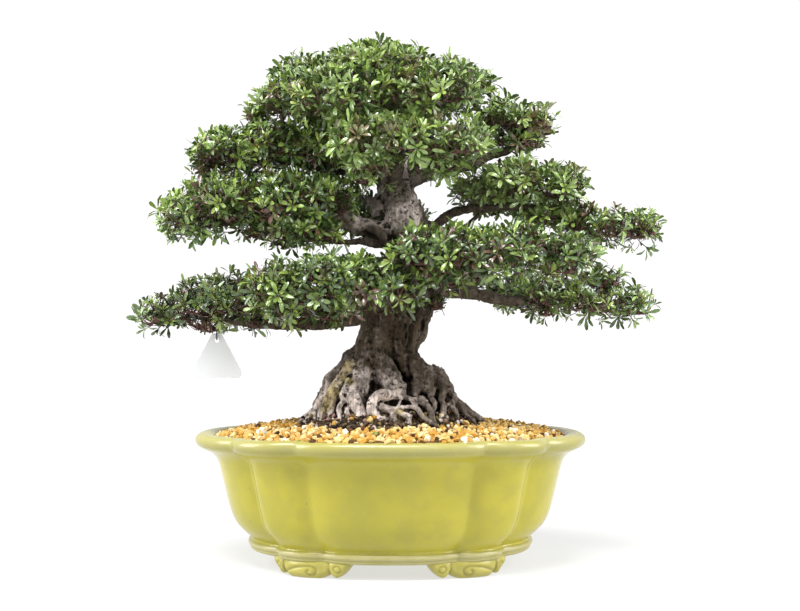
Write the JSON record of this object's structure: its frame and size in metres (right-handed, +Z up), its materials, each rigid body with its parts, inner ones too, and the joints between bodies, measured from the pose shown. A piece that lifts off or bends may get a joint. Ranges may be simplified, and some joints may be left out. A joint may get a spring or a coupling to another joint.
{
  "type": "azalea bonsai in a glazed pot",
  "caption": "Broad azalea bonsai with tiered leafy pads over a trunk with spreading surface roots, in a lobed oval pot on cloud feet.",
  "frame": {"origin": "on the surface that the feet stand on, under the middle of the tree's outline", "axes": "+Z up, +X to the right seen from the tree's front, -Y towards the front"},
  "size_m": [0.7096, 0.397, 0.683],
  "materials": {
    "glaze": "gloss",
    "screen": "matte",
    "soil": "matte",
    "gravel": "matte",
    "bark": "matte",
    "leaf": "satin",
    "card": "satin",
    "string": "matte"
  },
  "bodies": {
    "root": {"pot": "glaze", "drain_screen_left": "screen", "drain_screen_right": "screen", "soil": "soil", "gravel": "gravel", "tree": "bark", "leaves_crown": "leaf", "leaves_left_upper": "leaf", "leaves_left_middle": "leaf", "leaves_left_lower": "leaf", "leaves_front_lower_left": "leaf", "leaves_front_lower_right": "leaf", "leaves_right_middle": "leaf", "leaves_right_far": "leaf", "leaves_right_lower": "leaf", "leaves_front_middle": "leaf", "leaves_right_upper": "leaf", "leaves_back_lower": "leaf", "leaves_back_middle": "leaf", "leaves_back_upper": "leaf", "leaves_back_left_middle": "leaf", "leaves_back_right_middle": "leaf", "leaves_back_left_lower": "leaf", "leaves_back_right_lower": "leaf", "label_tag": "card", "label_cord": "string"}
  },
  "joints": []
}
